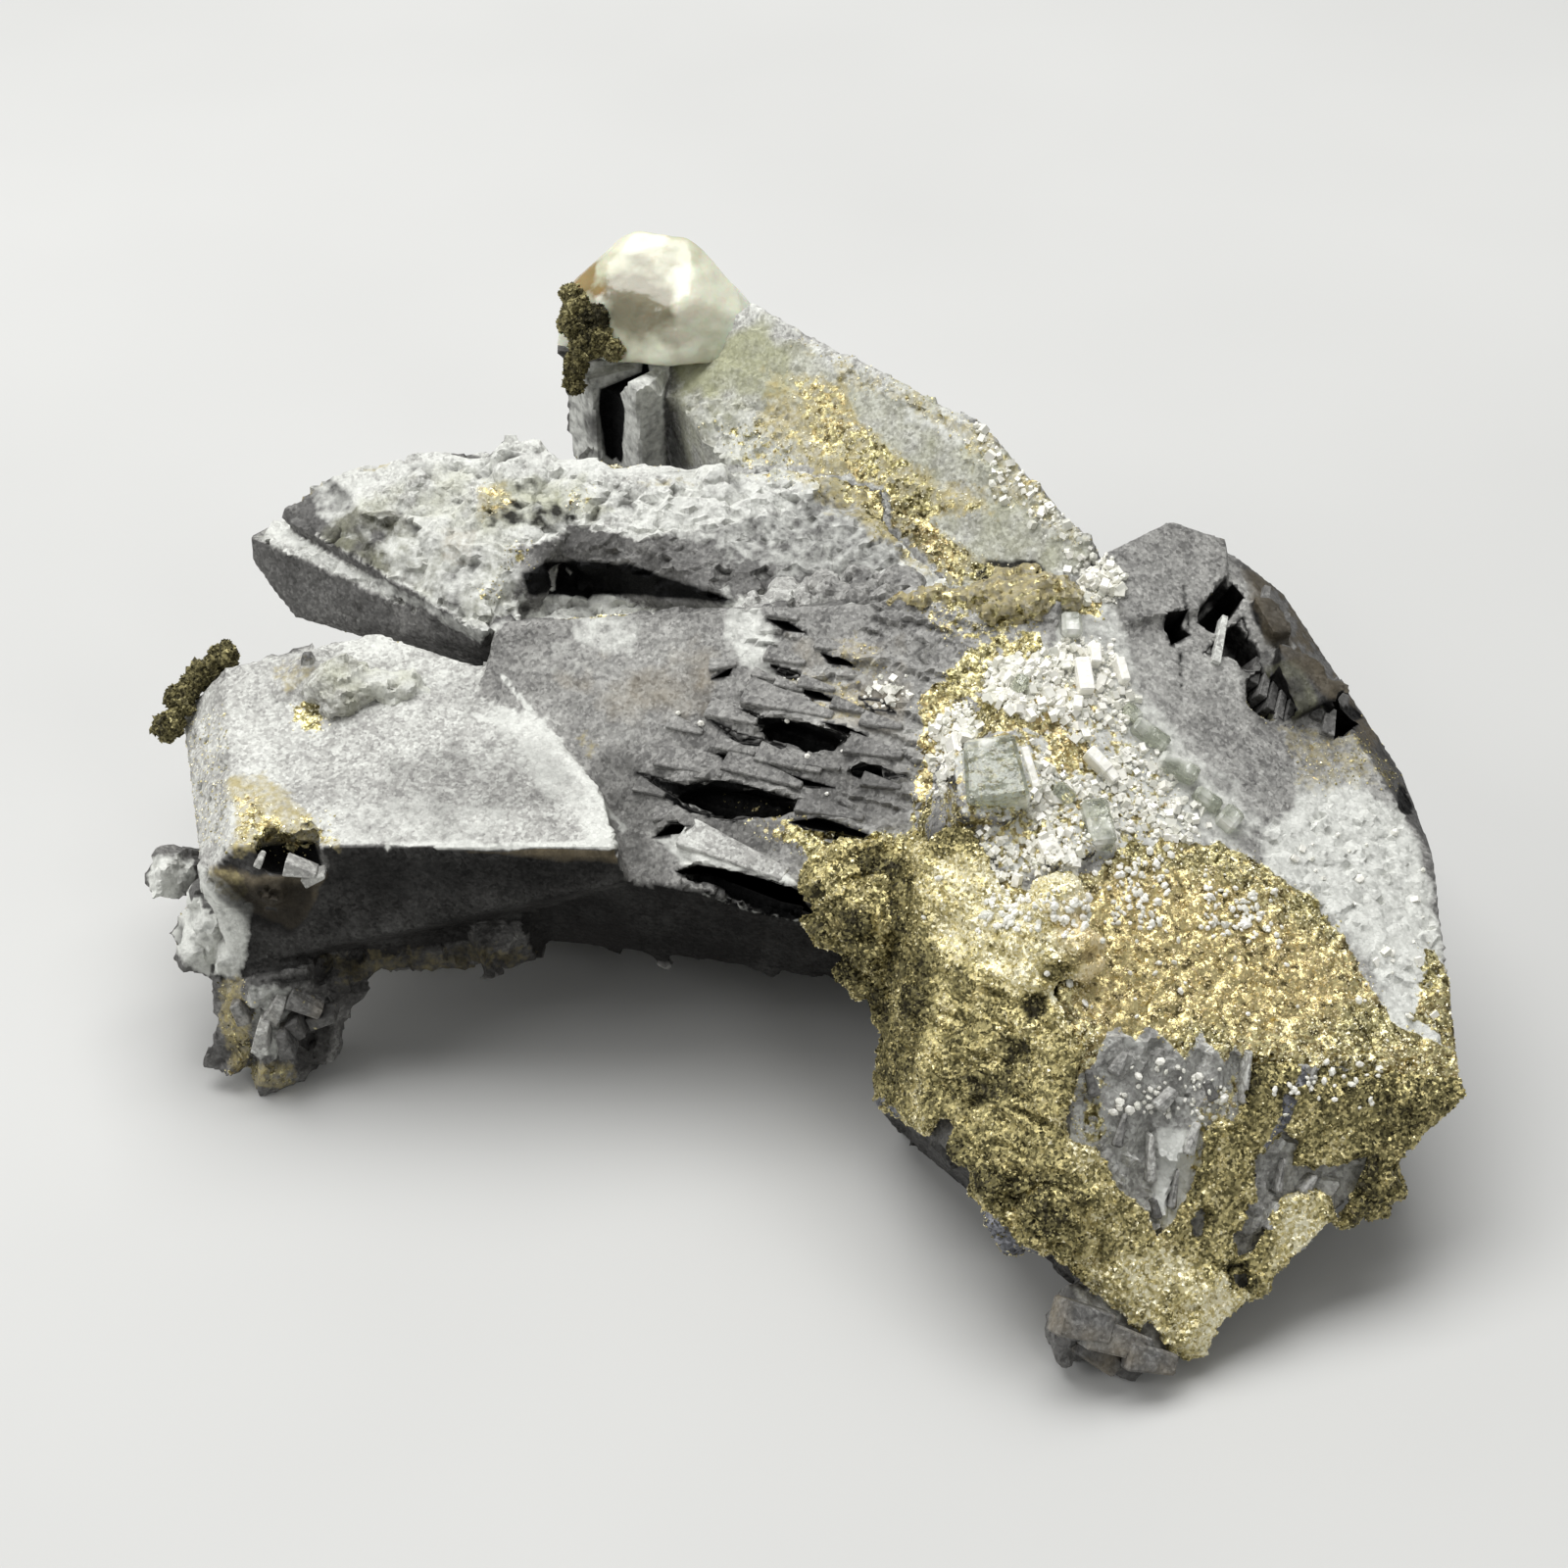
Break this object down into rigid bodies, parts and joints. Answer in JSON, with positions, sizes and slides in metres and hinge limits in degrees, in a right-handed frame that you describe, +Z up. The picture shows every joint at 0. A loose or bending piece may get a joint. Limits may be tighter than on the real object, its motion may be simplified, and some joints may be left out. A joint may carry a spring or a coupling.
{
  "type": "calcite and pyrite cluster",
  "caption": "Mineral specimen: dark grey calcite crystals grown through each other, partly coated with golden pyrite, resting on flat cut feet.",
  "frame": {"origin": "on the resting plane, under the middle of the bounding box", "axes": "+X to the right and +Y away from the viewer of the front, +Z up from the resting plane"},
  "size_m": [0.0913, 0.0946, 0.0382],
  "materials": {
    "calcite": "frosty to satin, finely etched, with sparkling small crystals",
    "pyrite": "coarse metallic brassy druse",
    "pyrite_dark": "dull olive metallic tuft"
  },
  "bodies": {
    "root": {"calcite_crystals": "calcite", "pyrite_crust": "pyrite", "pyrite_tuft_back": "pyrite_dark", "pyrite_tuft_left": "pyrite_dark"}
  },
  "joints": []
}
